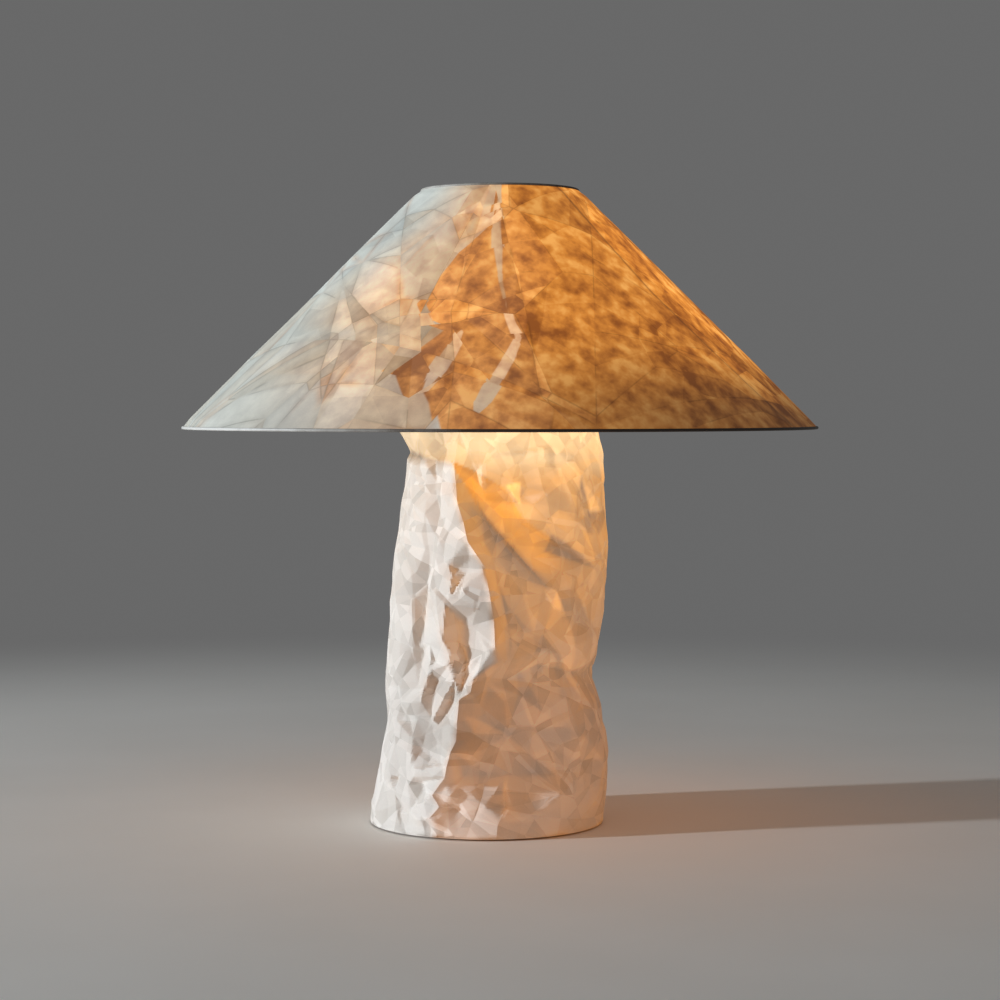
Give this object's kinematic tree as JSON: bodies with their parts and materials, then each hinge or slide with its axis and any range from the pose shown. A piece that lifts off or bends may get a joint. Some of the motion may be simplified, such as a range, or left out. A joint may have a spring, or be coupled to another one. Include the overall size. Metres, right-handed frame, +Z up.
{
  "type": "paper table lamp",
  "caption": "Table lamp with a conical crumpled-paper shade resting on a wire carrier, a crumpled-paper column over a wire cage, a weighted round base and a screw-in bulb.",
  "frame": {"origin": "on the table, under the axis of the stem and the shade, at the felt pad's underside", "axes": "+Z up along the stem, -Y to the lamp's front, +Y to its cord inlet"},
  "size_m": [0.5199, 0.52, 0.52],
  "materials": {
    "shade_paper": "matt crumpled paper, warm where the lamp shines through",
    "column_paper": "matt crumpled white paper",
    "rim_wire": "satin dark brown lacquer",
    "carrier_wire": "satin off-white powder coat",
    "cage_wire": "satin off-white powder coat",
    "zinc_steel": "zinc plate",
    "weight_steel": "turned mild steel",
    "board_wood": "sanded birch board",
    "felt": "pressed felt",
    "inlet_plastic": "matt moulded",
    "holder_plastic": "satin moulded",
    "holder_ceramic": "glazed",
    "contact_brass": "bright sheet",
    "insulator_glass": "black moulded",
    "bulb_cap_metal": "rolled thread",
    "bulb_plastic": "satin white",
    "bulb_board": "white solder mask",
    "bulb_diffuser": "opal, lit"
  },
  "bodies": {
    "base": {"felt_pad": "felt", "base_board": "board_wood", "ballast_plate": "weight_steel", "base_washer": "zinc_steel", "base_nut": "zinc_steel", "threaded_tube": "zinc_steel", "spacer_tube": "zinc_steel", "cord_gland": "inlet_plastic", "cage_struts": "cage_wire", "cage_lower_ring": "cage_wire", "cage_middle_ring": "cage_wire", "cage_top_ring": "cage_wire", "cage_spider": "zinc_steel", "spider_nut": "zinc_steel", "paper_column": "column_paper", "lampholder_cap": "holder_plastic", "cap_grub_screw": "zinc_steel", "lampholder_skirt": "holder_plastic", "lampholder_insert": "holder_ceramic", "terminal_screws": "contact_brass", "screw_shell": "contact_brass", "centre_contact": "contact_brass", "lower_shade_ring": "holder_plastic"},
    "ring": {"upper_shade_ring": "holder_plastic"},
    "carrier": {"carrier_hub": "carrier_wire", "carrier_arms": "carrier_wire", "carrier_ring": "carrier_wire"},
    "shade": {"shade_paper": "shade_paper", "shade_lower_rim": "rim_wire", "shade_upper_rim": "rim_wire"},
    "bulb_screw": {"bulb_contact": "contact_brass", "bulb_insulator": "insulator_glass"},
    "bulb": {"bulb_cap": "bulb_cap_metal", "bulb_housing": "bulb_plastic", "bulb_led_board": "bulb_board", "bulb_globe": "bulb_diffuser"}
  },
  "joints": [
    {"name": "shade_turn", "type": "hinge", "parent": "base", "child": "carrier", "pos_m": [0, 0, 0.345], "axis": [0, 0, 1], "continuous": true},
    {"name": "shade_lift", "type": "slide", "parent": "carrier", "child": "shade", "axis": [0, 0, 1], "range_m": [0, 0.24]},
    {"name": "ring_turn", "type": "hinge", "parent": "base", "child": "ring", "pos_m": [0, 0, 0.348], "axis": [0, 0, 1], "range_deg": [0, 1080]},
    {"name": "bulb_advance", "type": "slide", "parent": "base", "child": "bulb_screw", "axis": [0, 0, 1], "range_m": [0, 0.0182]},
    {"name": "bulb_turn", "type": "hinge", "parent": "bulb_screw", "child": "bulb", "pos_m": [0, 0, 0.36], "axis": [0, 0, 1], "range_deg": [0, 1800]}
  ],
  "couplings": [
    {"joint": "bulb_advance", "follows": "bulb_turn", "m_per_rad": 0.00057757}
  ]
}
